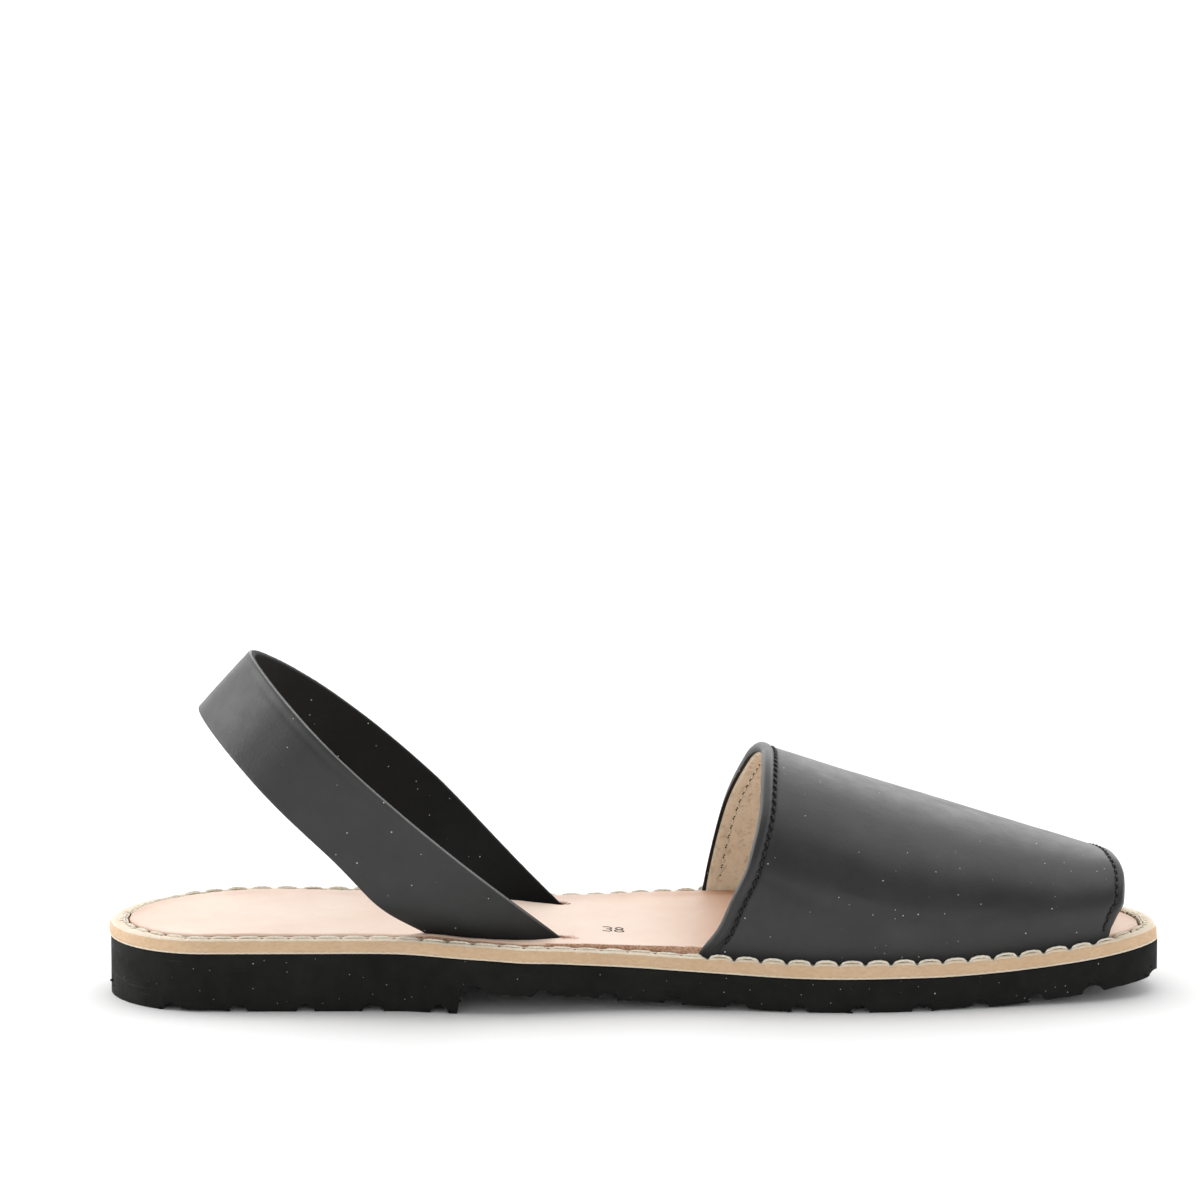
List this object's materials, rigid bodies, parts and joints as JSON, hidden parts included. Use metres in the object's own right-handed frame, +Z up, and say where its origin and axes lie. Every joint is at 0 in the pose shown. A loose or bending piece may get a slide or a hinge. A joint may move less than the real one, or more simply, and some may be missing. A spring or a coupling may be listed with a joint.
{
  "type": "avarca sandal",
  "caption": "Left avarca sandal: open black leather vamp and heel strap on a tan leather insole and midsole, with a grooved rubber outsole and a low heel block.",
  "frame": {"origin": "bottom centre of the shoe's bounding box, on the floor plane", "axes": "+X from the heel to the toe, +Z up, the inner side of the foot at -Y"},
  "size_m": [0.26, 0.09, 0.0845],
  "materials": {
    "black_rubber": "matte, lightly scuffed",
    "tan_leather_edge": "matte natural edge",
    "natural_leather": "matte undyed leather",
    "black_leather": "semi-matt fine grain"
  },
  "bodies": {
    "root": {"outsole": "black_rubber", "midsole": "tan_leather_edge", "insole": "natural_leather", "vamp": "black_leather", "heel_strap": "black_leather"}
  },
  "joints": []
}
